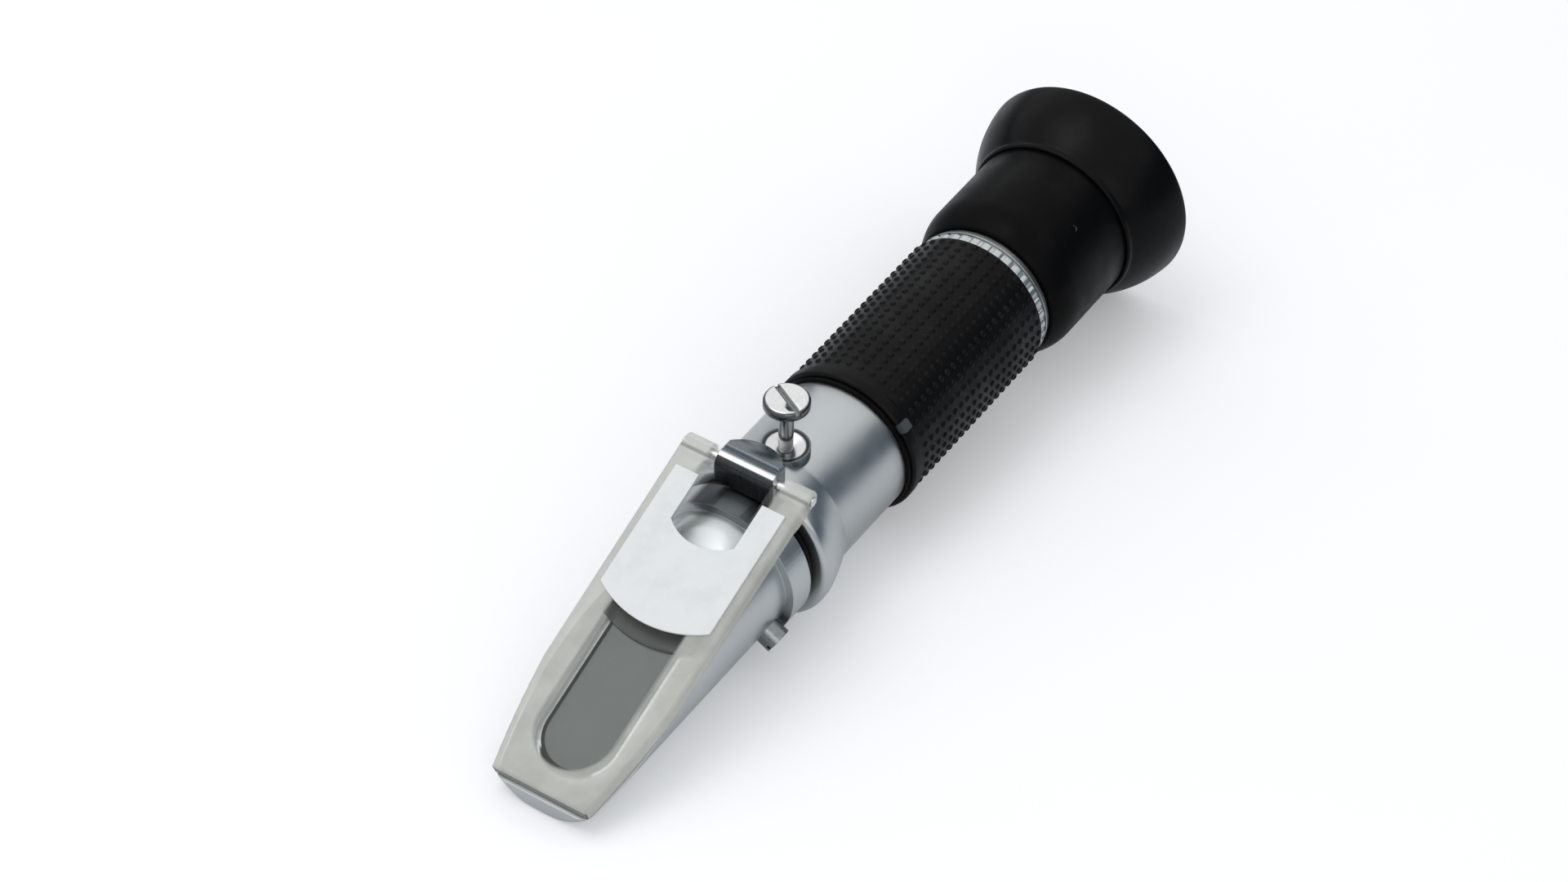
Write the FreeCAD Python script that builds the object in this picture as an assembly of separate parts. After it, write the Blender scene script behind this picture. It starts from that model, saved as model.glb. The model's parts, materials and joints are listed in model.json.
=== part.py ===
"""Hand-held tube refractometer with a hinged daylight plate, a focusing eyepiece and a zero-set screw.

Each piece is drawn about the tube's own axis: X runs from the tip of the prism end to the eyecup, Z points
up through the cover and Y is across. Before it is written out, each piece is laid down, so that the tube
lies on its eyecup rim and on the small flat under the barrel's flange. The origin is the middle of that flat.
"""
import FreeCAD, Part
import math
import os

Vector = FreeCAD.Vector

# Fits
seat_gap = 0.25
running_gap = 0.05
overrun = 2.0

# Daylight plate, measured along its own slope from the tip
plate_angle = 21.9
plate_tip_drop = 4.84
plate_length = 63.9
plate_thickness = 2.6
plate_tip_half_width = 8.8
plate_mid_half_width = 10.55
plate_mid_reach = 9.5
plate_bend_half_width = 11.8
plate_bend_reach = 20.0
plate_rear_half_width = 12.1
plate_edge_round = 0.5
plate_film_gap = 0.25

# Hinge end of the plate
knuckle_radius = 1.7
knuckle_run_in = 2.2
knuckle_lead = 5.7
notch_half_width = 5.55
notch_floor_reach = 47.1
notch_floor_radius = 9.0
pin_radius = 0.8
pin_stand_out = 0.3

# Name plate and the dark mask under it
label_thickness = 0.4
label_half_width = 10.4
label_rear_reach = 57.4
label_front_reach = 31.5
label_front_radius = 18.8
label_notch_margin = 0.5
mask_thickness = 0.3
mask_lead = 2.4
mask_half_width = 8.6
mask_length = 14.0

# Prism box
box_radius = 11.6
box_flat_depth = 10.3
box_nose_start = 0.45
box_nose_round = 1.4
box_collar_start = 51.9
box_collar_radius = 13.2
box_rear = 56.9
box_spigot_length = 5.4
box_bore_radius = 7.5
box_bore_start = 43.0
box_light_radius = 5.0
prism_half_width = 5.8
prism_tip_reach = 5.6
prism_rear = 36.0
prism_floor_depth = 8.4
prism_bevel = 0.9
gasket_width = 0.6
gasket_depth = 1.2

# Screws in the side of the box
box_screw_station = 49.1
box_screw_angle = 30.0
box_screw_head_radius = 2.35
box_screw_head_top = 14.2
box_screw_seat = 11.0
box_screw_shank_radius = 1.1
box_screw_shank_end = 6.7
box_screw_slot_width = 0.7
box_screw_slot_depth = 0.8

# Baffle tube inside the box
baffle_start = 44.5
baffle_length = 11.0
baffle_bore_radius = 6.0

# Seal in the groove between box and barrel
seal_width = 2.1
seal_radius = 12.5

# Barrel
flange_nose_radius = 13.7
flange_nose_round = 1.1
flange_radius = 14.85
flange_shoulder = 2.4
flange_fall_reach = 6.9
flange_fall_radius = 13.95
barrel_radius = 12.6
barrel_rear = 86.2
barrel_seat_radius = 11.8
barrel_end = 146.0
barrel_bore_radius = 9.6
foot_depth = 14.1
foot_station = 61.5

# Hinge block on the flange
block_half_width = 5.3
block_front = 59.1
block_depth = 4.0
block_side_depth = 1.7
block_top = 19.2
block_seat = 13.6
block_knuckle_radius = 2.0
block_edge = 0.4
block_stud_radius = 1.0
block_stud_reach = 3.0

# Calibration screw
calib_station = 69.1
bush_radius = 4.1
bush_top = 13.9
bush_bottom = 9.9
bush_dish_radius = 3.5
bush_dish_depth = 0.8
stem_radius = 1.25
head_radius = 3.9
head_top = 24.4
head_rim_height = 1.5
head_cone_height = 2.2
head_round = 0.7
slot_width = 0.9
slot_depth = 0.9
slot_angle = 62.0
collar_radius = 2.1
collar_height = 1.1
stem_seal_height = 0.8
stem_seal_width = 0.6
eccentric_offset = 0.15
eccentric_radius = 0.5
eccentric_reach = 2.4
eccentric_play = 0.28

# Objective cell
cell_start = 64.6
cell_length = 13.4
cell_rocking_gap = 0.3
cell_bore_radius = 5.0
cell_pivot_radius = 1.0
cell_pivot_inner_end = 6.5
cell_pivot_outer_end = 11.0
cell_notch_half_length = 2.9
cell_notch_floor = 7.1
cell_slot_half_width = 1.6
lens_seat_start = 72.9
objective_radius = 7.0
objective_edge = 2.0
objective_bulge = 0.7
objective_ring_length = 1.6
objective_ring_bore = 5.4
objective_clear_radius = 4.8

# Stop ring and scale disc inside the barrel
stop_station = 84.0
stop_length = 1.4
stop_bore_radius = 4.2
reticle_station = 112.0
reticle_thickness = 1.6
reticle_ring_length = 1.8
reticle_ring_bore = 7.6

# Grip
grip_ring_length = 0.8
grip_ring_radius = 13.15
grip_key_angle = 39.5
grip_key_width = 1.7
grip_key_length = 1.9
grip_key_height = 0.75
grip_radius = 13.5
grip_bead_radius = 13.85
grip_bead_length = 2.2
grip_rear = 127.6
grip_end_round = 0.35

# Knurled stop ring
stop_ring_length = 3.2
stop_ring_radius = 13.1
stop_ring_rear_radius = 12.7
stop_ring_knurl_length = 1.5
stop_ring_groove_width = 0.45
stop_ring_groove_depth = 0.6
stop_ring_scallops = 36
stop_ring_scallop_radius = 0.55
stop_ring_scallop_bite = 0.25

# Focusing eyepiece
focus_travel = 3.0
eyepiece_front = 131.2
eyepiece_nose_radius = 13.2
eyepiece_nose_mid_reach = 2.2
eyepiece_nose_mid_radius = 14.45
eyepiece_nose_reach = 6.0
eyepiece_radius = 15.08
eyepiece_rear = 153.4
eyepiece_bore_radius = 12.15
eyepiece_web_start = 149.6
eyepiece_web_length = 2.2
eyepiece_spigot_radius = 13.4
eyepiece_spigot_length = 4.0
set_screw_radius = 0.55
set_screw_depth = 1.6
set_screw_sink = 0.15
set_screws = ((142.3, 48.3), (135.9, 19.3))

# Lens tube of the eyepiece
lens_tube_start = 118.0
lens_tube_end = 153.0
lens_tube_bore_radius = 8.2
lens_tube_neck_radius = 9.3
field_lens_station = 121.0
field_lens_thickness = 2.4
eye_lens_station = 146.0
eye_lens_thickness = 3.0
eyepiece_lens_bulge = 1.2
eyepiece_clear_radius = 6.6
lens_shoulder_length = 1.2
lens_shoulder_bore = 7.2
spacer_bore_radius = 7.0
lens_ring_length = 1.6
lens_ring_bore = 6.8
guide_pin_station = 134.4
guide_pin_radius = 0.9
guide_pin_top = 11.5
guide_slot_play = 0.1

# Eyecup
cup_lip_start = 152.4
cup_lip_radius = 15.75
cup_lip_length = 0.9
cup_mid_station = 158.3
cup_mid_radius = 18.6
cup_rim_radius = 20.0
cup_rim_round = 0.9
cup_rim_station = 164.1
cup_throat_radius = 10.4
cup_floor_thickness = 1.0
cup_floor_radius = 14.8
cup_inner_mid_station = 161.4
cup_inner_mid_radius = 17.0
cup_mouth_radius = 18.1

# Values worked out from the ones above
slope = math.radians(plate_angle)
pin_reach = plate_length - knuckle_radius
pin_station = pin_reach * math.cos(slope) + knuckle_radius * math.sin(slope)
pin_height = pin_reach * math.sin(slope) - knuckle_radius * math.cos(slope) - plate_tip_drop
deck_drop = plate_thickness + plate_film_gap
flange_front = box_rear + seal_width
cup_rim_arm = cup_rim_radius - cup_rim_round
rest_reach = cup_rim_station - foot_station
rest_drop = cup_rim_arm - foot_depth
rest_angle = math.atan2(rest_drop, rest_reach) + math.asin(cup_rim_round / math.hypot(rest_reach, rest_drop))

AXIS = Vector(1, 0, 0)
ACROSS = Vector(0, 1, 0)
UP = Vector(0, 0, 1)
ORIGIN = Vector(0, 0, 0)


def turned(*steps):
    """A solid turned about the tube axis. Each step is a station and a radius, or a middle and an end of an arc."""
    points = [Vector(step[-2], 0, step[-1]) for step in steps]
    edges = []
    for index, step in enumerate(steps):
        start = points[index - 1]
        end = points[index]
        if len(step) == 4:
            edges.append(Part.Arc(start, Vector(step[0], 0, step[1]), end).toShape())
        elif start.distanceToPoint(end) > 0:
            edges.append(Part.LineSegment(start, end).toShape())
    return Part.Face(Part.Wire(edges)).revolve(ORIGIN, AXIS, 360)


def ring(start, length, outer, inner=0):
    """A plain tube or disc along the axis."""
    body = Part.makeCylinder(outer, length, Vector(start, 0, 0), AXIS)
    if inner > 0:
        body = body.cut(Part.makeCylinder(inner, length, Vector(start, 0, 0), AXIS))
    return body


def lens(start, thickness, radius, clear_radius, bulge):
    """A lens with a straight edge, a flat rim to seat on and two faces that bulge out."""
    end = start + thickness
    half_radius = clear_radius / 2
    face_radius = (clear_radius ** 2 + bulge ** 2) / (2 * bulge)
    half_bulge = bulge - sagitta(face_radius, half_radius)
    return turned((start - bulge, 0), (start - half_bulge, half_radius, start, clear_radius), (start, radius),
                  (end, radius), (end, clear_radius), (end + half_bulge, half_radius, end + bulge, 0))


def around(shape, angle):
    """Turn a shape about the tube axis, from straight up towards the near side, which is -Y."""
    turned_shape = shape.copy()
    turned_shape.rotate(ORIGIN, AXIS, angle)
    return turned_shape


def on_slope(shape):
    """Move a shape drawn flat, along X from the plate's tip and up from its top face, on to the plate's slope."""
    moved = shape.copy()
    moved.rotate(ORIGIN, ACROSS, -plate_angle)
    moved.translate(Vector(0, 0, -plate_tip_drop))
    return moved


def flat_slab(edges, bottom, top):
    """A slab between two heights from a closed outline in the plane."""
    face = Part.Face(Part.Wire(edges))
    face.translate(UP * bottom)
    return face.extrude(UP * (top - bottom))


def line(start, end):
    return Part.LineSegment(Vector(*start, 0), Vector(*end, 0)).toShape()


def arc(start, middle, end):
    return Part.Arc(Vector(*start, 0), Vector(*middle, 0), Vector(*end, 0)).toShape()


def sagitta(radius, half_width):
    """How far an arc falls back at half its chord."""
    return radius - math.sqrt(radius ** 2 - half_width ** 2)


def rounded_column(half_width, tip, rear, bottom, top):
    """A slab on the slope's own plane, round at the tip and square at the rear."""
    centre = tip + half_width
    edges = [
        arc((centre, -half_width), (tip, 0), (centre, half_width)),
        line((centre, half_width), (rear, half_width)),
        line((rear, half_width), (rear, -half_width)),
        line((rear, -half_width), (centre, -half_width)),
    ]
    return flat_slab(edges, bottom, top)


def notch_column(half_width, floor, radius, bottom, top):
    """The space between the arms, with an arc for its floor."""
    side = floor + sagitta(radius, half_width)
    rear = plate_length + overrun
    edges = [
        arc((side, -half_width), (floor, 0), (side, half_width)),
        line((side, half_width), (rear, half_width)),
        line((rear, half_width), (rear, -half_width)),
        line((rear, -half_width), (side, -half_width)),
    ]
    return flat_slab(edges, bottom, top)


def plate_outline():
    """The plate seen from above: narrow at the tip, wider past its bend."""
    corners = (0, plate_tip_half_width)
    middle = (plate_mid_reach, plate_mid_half_width)
    bend = (plate_bend_reach, plate_bend_half_width)
    rear = (plate_length, plate_rear_half_width)

    def far(point):
        return (point[0], -point[1])

    return [arc(corners, middle, bend), line(bend, rear), line(rear, far(rear)),
            line(far(rear), far(bend)), arc(far(bend), far(middle), far(corners)), line(far(corners), corners)]


def label_outline(front, radius, half_width, rear):
    """The label's big arc towards the tip, with straight sides and a square rear."""
    side = front + sagitta(radius, half_width)
    return [arc((side, -half_width), (front, 0), (side, half_width)), line((side, half_width), (rear, half_width)),
            line((rear, half_width), (rear, -half_width)), line((rear, -half_width), (side, -half_width))]


def mask_slab(grow):
    """The dark strip in a shallow pocket of the plate's underside."""
    front = label_front_reach - mask_lead - grow
    outline = label_outline(front, label_front_radius, mask_half_width + grow, front + mask_length)
    return flat_slab(outline, -plate_thickness, mask_thickness + grow - plate_thickness)


def daylight_plate():
    plan = flat_slab(plate_outline(), -plate_thickness - knuckle_radius, 0)
    depth = 2 * knuckle_radius
    boss_start = pin_reach - knuckle_lead
    side = [
        ((0, 0), (0, -plate_thickness)),
        ((0, -plate_thickness), (boss_start, -plate_thickness)),
        ((boss_start, -plate_thickness), (boss_start + knuckle_run_in, -depth)),
        ((boss_start + knuckle_run_in, -depth), (pin_reach, -depth)),
    ]
    edges = [Part.LineSegment(Vector(a[0], 0, a[1]), Vector(b[0], 0, b[1])).toShape() for a, b in side]
    edges.append(Part.Arc(Vector(pin_reach, 0, -depth), Vector(plate_length, 0, -knuckle_radius),
                          Vector(pin_reach, 0, 0)).toShape())
    edges.append(Part.LineSegment(Vector(pin_reach, 0, 0), ORIGIN).toShape())
    profile = Part.Face(Part.Wire(edges))
    profile.translate(ACROSS * -(plate_rear_half_width + overrun))
    body = profile.extrude(ACROSS * 2 * (plate_rear_half_width + overrun)).common(plan)
    rims = [edge for edge in body.Edges
            if all(abs(v.Z) < plate_edge_round and v.X < boss_start for v in edge.Vertexes)]
    body = body.makeFillet(plate_edge_round, rims)
    body = body.cut(notch_column(notch_half_width, notch_floor_reach, notch_floor_radius,
                                 -depth - overrun, overrun))
    hole = Part.makeCylinder(pin_radius + running_gap, 2 * (plate_rear_half_width + overrun),
                             Vector(pin_reach, -plate_rear_half_width - overrun, -knuckle_radius), ACROSS)
    return on_slope(body.cut(hole).cut(mask_slab(0)))


def name_plate():
    body = flat_slab(label_outline(label_front_reach, label_front_radius, label_half_width, label_rear_reach),
                     0, label_thickness)
    return on_slope(body.cut(notch_column(notch_half_width + label_notch_margin, notch_floor_reach - label_notch_margin,
                                          notch_floor_radius, -overrun, label_thickness + overrun)))


def light_mask():
    return on_slope(mask_slab(0))


def above_deck():
    """Everything over the sloping deck that the plate closes on."""
    half = box_collar_radius + overrun
    length = plate_length + overrun
    slab = Part.makeBox(length + overrun, 2 * half, 2 * half, Vector(-overrun, -half, -deck_drop))
    return on_slope(slab)


def prism_column(half_width, floor_depth, rear):
    """The wedge under the deck: a rounded column cut level at its floor and square to the tube at its rear."""
    tip = prism_tip_reach + prism_half_width - half_width
    column = on_slope(rounded_column(half_width, tip, plate_length, -2 * box_radius, -deck_drop))
    room = Part.makeBox(rear, 2 * box_radius, 2 * box_radius, Vector(0, -box_radius, -floor_depth))
    return column.common(room)


def prism_box():
    shell = turned((box_nose_start, 0), (box_nose_start, box_radius - box_nose_round),
                   (box_nose_start + box_nose_round * (1 - math.sqrt(1 / 2)),
                    box_radius - box_nose_round * (1 - math.sqrt(1 / 2)),
                    box_nose_start + box_nose_round, box_radius),
                   (box_collar_start, box_radius), (box_collar_start, box_collar_radius),
                   (box_rear, box_collar_radius), (box_rear, box_radius),
                   (box_rear + box_spigot_length, box_radius), (box_rear + box_spigot_length, 0))
    flat = Part.makeBox(box_collar_start + overrun, 2 * box_radius, box_radius,
                        Vector(-overrun, -box_radius, -box_flat_depth - box_radius))
    shell = shell.cut(flat).cut(above_deck())
    gasket_half = prism_half_width + gasket_width
    bevel_half = gasket_half + prism_bevel
    shell = shell.cut(prism_column(gasket_half, prism_floor_depth, prism_rear + gasket_width))
    bevel = rounded_column(bevel_half, prism_tip_reach + prism_half_width - bevel_half,
                           prism_rear / math.cos(slope), -deck_drop - prism_bevel / 2, -deck_drop)
    shell = shell.cut(on_slope(bevel))
    shell = shell.cut(ring(prism_rear, box_bore_start - prism_rear + overrun, box_light_radius))
    shell = shell.cut(ring(box_bore_start, box_rear + box_spigot_length - box_bore_start + overrun, box_bore_radius))
    for side in (1, -1):
        seat = Part.makeCylinder(box_screw_head_radius + seat_gap, box_screw_head_top,
                                 Vector(box_screw_station, 0, box_screw_seat), UP)
        hole = Part.makeCylinder(box_screw_shank_radius, box_screw_head_top,
                                 Vector(box_screw_station, 0, 0), UP)
        shell = shell.cut(around(seat, side * (90 + box_screw_angle)))
        shell = shell.cut(around(hole, side * (90 + box_screw_angle)))
    return shell


def measuring_prism():
    return prism_column(prism_half_width, prism_floor_depth, prism_rear)


def prism_gasket():
    outer = prism_column(prism_half_width + gasket_width, prism_floor_depth, prism_rear + gasket_width)
    inner = prism_column(prism_half_width, prism_floor_depth + overrun, prism_rear)
    under = on_slope(Part.makeBox(2 * plate_length, 2 * box_collar_radius, box_collar_radius,
                                  Vector(-plate_length, -box_collar_radius,
                                         -deck_drop - gasket_depth - box_collar_radius)))
    above = on_slope(Part.makeBox(2 * plate_length, 2 * box_collar_radius, box_collar_radius,
                                  Vector(-plate_length, -box_collar_radius, -deck_drop)))
    return outer.cut(inner).cut(under).cut(above)


def baffle_tube():
    body = ring(baffle_start, baffle_length, box_bore_radius, baffle_bore_radius)
    for side in (1, -1):
        hole = Part.makeCylinder(box_screw_shank_radius, box_screw_head_top, Vector(box_screw_station, 0, 0), UP)
        body = body.cut(around(hole, side * (90 + box_screw_angle)))
    return body


def box_screws():
    head = Part.makeCylinder(box_screw_head_radius, box_screw_head_top - box_screw_seat,
                             Vector(box_screw_station, 0, box_screw_seat), UP)
    shank = Part.makeCylinder(box_screw_shank_radius, box_screw_seat - box_screw_shank_end,
                              Vector(box_screw_station, 0, box_screw_shank_end), UP)
    slot = Part.makeBox(2 * box_screw_head_radius, box_screw_slot_width, box_screw_slot_depth,
                        Vector(box_screw_station - box_screw_head_radius, -box_screw_slot_width / 2,
                               box_screw_head_top - box_screw_slot_depth))
    screw = head.fuse(shank).removeSplitter().cut(slot)
    return Part.makeCompound([around(screw, side * (90 + box_screw_angle)) for side in (1, -1)])


def seal_ring():
    return ring(box_rear, seal_width, seal_radius, box_radius)


def below_floor():
    """Everything under the plane that the instrument lies on, in the tube's own frame."""
    size = 4 * cup_rim_station
    slab = Part.makeBox(size, size, size, Vector(-size / 2, -size / 2, -size))
    slab.rotate(ORIGIN, ACROSS, math.degrees(rest_angle))
    slab.translate(Vector(foot_station, 0, -foot_depth))
    return slab


def barrel():
    nose = flange_front + flange_nose_round
    shoulder = flange_front + flange_shoulder
    fall = shoulder + flange_fall_reach
    counterbore = box_rear + box_spigot_length + seat_gap
    nose_rise = flange_radius - flange_nose_radius
    eighth = math.sqrt(1 / 2)
    body = turned((flange_front, box_radius), (flange_front, flange_nose_radius),
                  (nose - flange_nose_round * eighth, flange_nose_radius + nose_rise * eighth, nose, flange_radius),
                  (shoulder, flange_radius), (shoulder + flange_fall_reach / 2, flange_fall_radius, fall, barrel_radius),
                  (barrel_rear, barrel_radius), (barrel_rear, barrel_seat_radius),
                  (barrel_end, barrel_seat_radius), (barrel_end, barrel_bore_radius),
                  (counterbore, barrel_bore_radius), (counterbore, box_radius))
    seat = Part.makeBox(block_depth + overrun, 2 * (block_half_width + running_gap), flange_radius,
                        Vector(block_front - overrun, -block_half_width - running_gap, block_seat))
    bush_hole = Part.makeCylinder(bush_radius, flange_radius, Vector(calib_station, 0, 0), UP)
    stud_hole = Part.makeCylinder(block_stud_radius, flange_radius,
                                  Vector(block_front + block_depth / 2, 0, 0), UP)
    slot_half = guide_pin_radius + guide_slot_play
    slot_end = guide_pin_station + focus_travel
    slot = Part.makeCylinder(slot_half, eyepiece_radius, Vector(guide_pin_station, 0, 0), -UP)
    slot = slot.fuse(Part.makeCylinder(slot_half, eyepiece_radius, Vector(slot_end, 0, 0), -UP))
    slot = slot.fuse(Part.makeBox(focus_travel, 2 * slot_half, eyepiece_radius,
                                  Vector(guide_pin_station, -slot_half, -eyepiece_radius)))
    pivot_holes = pivot_pair(cell_pivot_radius + running_gap, cell_pivot_outer_end + running_gap)
    return body.cut(seat).cut(bush_hole).cut(stud_hole).cut(slot).cut(pivot_holes).cut(below_floor())


def hinge_block():
    rear_mid = block_front + block_depth
    rear_side = block_front + block_side_depth
    outline = [
        line((block_front, -block_half_width), (block_front, block_half_width)),
        line((block_front, block_half_width), (rear_side, block_half_width)),
        arc((rear_side, block_half_width), (rear_mid, 0), (rear_side, -block_half_width)),
        line((rear_side, -block_half_width), (block_front, -block_half_width)),
    ]
    body = flat_slab(outline, block_seat, block_top)
    crown = [edge for edge in body.Edges if all(v.Z > block_top - block_edge for v in edge.Vertexes)]
    body = body.makeChamfer(block_edge, crown)
    knuckle = Part.makeCylinder(block_knuckle_radius, 2 * block_half_width,
                                Vector(pin_station, -block_half_width, pin_height), ACROSS)
    web = Part.makeBox(block_front - pin_station + block_knuckle_radius, 2 * block_half_width,
                       pin_height - block_seat,
                       Vector(pin_station - block_knuckle_radius, -block_half_width, block_seat))
    body = body.fuse(knuckle).fuse(web).removeSplitter()
    bore = Part.makeCylinder(pin_radius, 2 * box_radius, Vector(pin_station, -box_radius, pin_height), ACROSS)
    stud_hole = Part.makeCylinder(block_stud_radius, block_stud_reach,
                                  Vector(block_front + block_depth / 2, 0, block_seat), UP)
    return body.cut(bore).cut(stud_hole)


def hinge_pin():
    half = plate_rear_half_width + pin_stand_out
    return Part.makeCylinder(pin_radius, 2 * half, Vector(pin_station, -half, pin_height), ACROSS)


def hinge_block_stud():
    foot = box_radius + running_gap
    return Part.makeCylinder(block_stud_radius, block_seat + block_stud_reach - foot,
                             Vector(block_front + block_depth / 2, 0, foot), UP)


def calibration_bush():
    body = Part.makeCylinder(bush_radius, bush_top - bush_bottom, Vector(calib_station, 0, bush_bottom), UP)
    dish = Part.makeCone(stem_radius + running_gap, bush_dish_radius, bush_dish_depth,
                         Vector(calib_station, 0, bush_top - bush_dish_depth), UP)
    bore = Part.makeCylinder(stem_radius + running_gap, bush_top, Vector(calib_station, 0, 0), UP)
    return body.cut(dish).cut(bore).cut(seal_groove())


def seal_groove():
    """The groove inside the bush that holds the stem's small seal."""
    middle = (bush_top - bush_dish_depth + bush_bottom) / 2
    return Part.makeCylinder(stem_radius + running_gap + stem_seal_width, stem_seal_height,
                             Vector(calib_station, 0, middle), UP)


def stem_seal():
    bore = Part.makeCylinder(stem_radius + running_gap, bush_top, Vector(calib_station, 0, 0), UP)
    return seal_groove().cut(bore)


def calibration_screw():
    cone_foot = head_top - head_rim_height - head_cone_height
    collar_foot = bush_bottom - seat_gap - collar_height
    at = Vector(calib_station, 0, 0)
    rim = Part.makeCylinder(head_radius, head_rim_height, at + UP * (head_top - head_rim_height), UP)
    rim = rim.makeFillet(head_round, [edge for edge in rim.Edges
                                      if all(v.Z > head_top - head_round for v in edge.Vertexes)])
    cone = Part.makeCone(stem_radius, head_radius, head_cone_height, at + UP * cone_foot, UP)
    stem = Part.makeCylinder(stem_radius, cone_foot - collar_foot, at + UP * collar_foot, UP)
    collar = Part.makeCylinder(collar_radius, collar_height, at + UP * collar_foot, UP)
    pin = Part.makeCylinder(eccentric_radius, eccentric_reach,
                            at + UP * (collar_foot - eccentric_reach) + ACROSS * eccentric_offset, UP)
    body = rim.fuse(cone).fuse(stem).fuse(collar).fuse(pin).removeSplitter()
    slot = Part.makeBox(2 * head_radius + overrun, slot_width, slot_depth + overrun,
                        Vector(-head_radius - overrun / 2, -slot_width / 2, head_top - slot_depth))
    slot.rotate(ORIGIN, UP, slot_angle)
    slot.translate(at)
    return body.cut(slot)


def pivot_pair(radius, outer_end):
    """Round pins on both sides of the tube, on the cross axis about which the objective cell rocks."""
    middle = Vector(cell_start + cell_length / 2, 0, 0)
    return [Part.makeCylinder(radius, outer_end - cell_pivot_inner_end, middle + way * cell_pivot_inner_end, way)
            for way in (ACROSS, -ACROSS)]


def cell_pivots():
    return Part.makeCompound(pivot_pair(cell_pivot_radius, cell_pivot_outer_end))


def objective_cell():
    body = ring(cell_start, cell_length, barrel_bore_radius - cell_rocking_gap, cell_bore_radius)
    seat = ring(lens_seat_start, cell_start + cell_length - lens_seat_start + overrun, objective_radius)
    notch = Part.makeBox(2 * cell_notch_half_length, 2 * barrel_bore_radius, barrel_bore_radius,
                         Vector(calib_station - cell_notch_half_length, -barrel_bore_radius, cell_notch_floor))
    slot_half = eccentric_radius + eccentric_play
    slot = Part.makeBox(2 * slot_half, 2 * cell_slot_half_width, barrel_bore_radius,
                        Vector(calib_station - slot_half, -cell_slot_half_width, 0))
    return body.cut(seat).cut(notch).cut(slot).cut(pivot_pair(cell_pivot_radius, cell_pivot_outer_end))


def objective_lens():
    return lens(lens_seat_start, objective_edge, objective_radius, objective_clear_radius, objective_bulge)


def objective_ring():
    return ring(lens_seat_start + objective_edge, objective_ring_length, objective_radius, objective_ring_bore)


def aperture_stop():
    return ring(stop_station, stop_length, barrel_bore_radius, stop_bore_radius)


def scale_disc():
    return ring(reticle_station, reticle_thickness, barrel_bore_radius)


def scale_disc_ring():
    return ring(reticle_station + reticle_thickness, reticle_ring_length, barrel_bore_radius, reticle_ring_bore)


def grip_ring():
    return ring(barrel_rear, grip_ring_length, grip_ring_radius, barrel_seat_radius)


def grip_key():
    start = barrel_rear + grip_ring_length
    block = Part.makeBox(grip_key_length, grip_key_width, grip_key_height + grip_bead_radius - barrel_seat_radius,
                         Vector(start, -grip_key_width / 2, barrel_seat_radius))
    trim = ring(start - overrun, grip_key_length + 2 * overrun, grip_bead_radius + grip_key_height,
                barrel_seat_radius)
    return around(block.common(trim), 90 - grip_key_angle)


def grip_sleeve():
    front = barrel_rear + grip_ring_length
    bead = front + grip_bead_length
    body = turned((front, barrel_seat_radius), (front, grip_bead_radius - grip_end_round),
                  (front + grip_end_round, grip_bead_radius), (bead, grip_bead_radius),
                  (bead + grip_end_round, grip_radius), (grip_rear - grip_end_round, grip_radius),
                  (grip_rear, grip_radius - grip_end_round), (grip_rear, barrel_seat_radius))
    return body.cut(grip_key())


def stop_ring():
    front = grip_rear
    groove = front + stop_ring_knurl_length
    groove_floor = stop_ring_radius - stop_ring_groove_depth
    body = turned((front, barrel_seat_radius), (front, stop_ring_radius), (groove, stop_ring_radius),
                  (groove, groove_floor), (groove + stop_ring_groove_width, groove_floor),
                  (groove + stop_ring_groove_width, stop_ring_radius), (front + stop_ring_length, stop_ring_rear_radius),
                  (front + stop_ring_length, barrel_seat_radius))
    centre = stop_ring_radius + stop_ring_scallop_radius - stop_ring_scallop_bite
    scallop = Part.makeCylinder(stop_ring_scallop_radius, stop_ring_knurl_length,
                                Vector(front, 0, centre), AXIS)
    turn = 360 / stop_ring_scallops
    return body.cut(Part.makeCompound([around(scallop, index * turn) for index in range(stop_ring_scallops)]))


def lens_tube():
    body = ring(lens_tube_start, lens_tube_end - lens_tube_start, barrel_bore_radius - running_gap,
                lens_tube_bore_radius)
    neck_start = barrel_end + seat_gap + focus_travel / 2
    neck_end = eyepiece_web_start + eyepiece_web_length + seat_gap
    shoulder = ring(field_lens_station - lens_shoulder_length, lens_shoulder_length, lens_tube_bore_radius,
                    lens_shoulder_bore)
    neck = ring(neck_start, neck_end - neck_start, barrel_bore_radius + overrun, lens_tube_neck_radius)
    hole = Part.makeCylinder(guide_pin_radius, barrel_bore_radius, Vector(guide_pin_station, 0, 0), -UP)
    return body.fuse(shoulder).removeSplitter().cut(neck).cut(hole)


def guide_pin():
    return Part.makeCylinder(guide_pin_radius, guide_pin_top - lens_tube_bore_radius,
                             Vector(guide_pin_station, 0, -guide_pin_top), UP).cut(
        ring(guide_pin_station - overrun, 2 * overrun, lens_tube_bore_radius))


def field_lens():
    return lens(field_lens_station, field_lens_thickness, lens_tube_bore_radius, eyepiece_clear_radius,
                eyepiece_lens_bulge)


def eye_lens():
    return lens(eye_lens_station, eye_lens_thickness, lens_tube_bore_radius, eyepiece_clear_radius,
                eyepiece_lens_bulge)


def lens_spacer():
    start = field_lens_station + field_lens_thickness
    return ring(start, eye_lens_station - start, lens_tube_bore_radius, spacer_bore_radius)


def lens_ring():
    return ring(eye_lens_station + eye_lens_thickness, lens_ring_length, lens_tube_bore_radius, lens_ring_bore)


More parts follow.
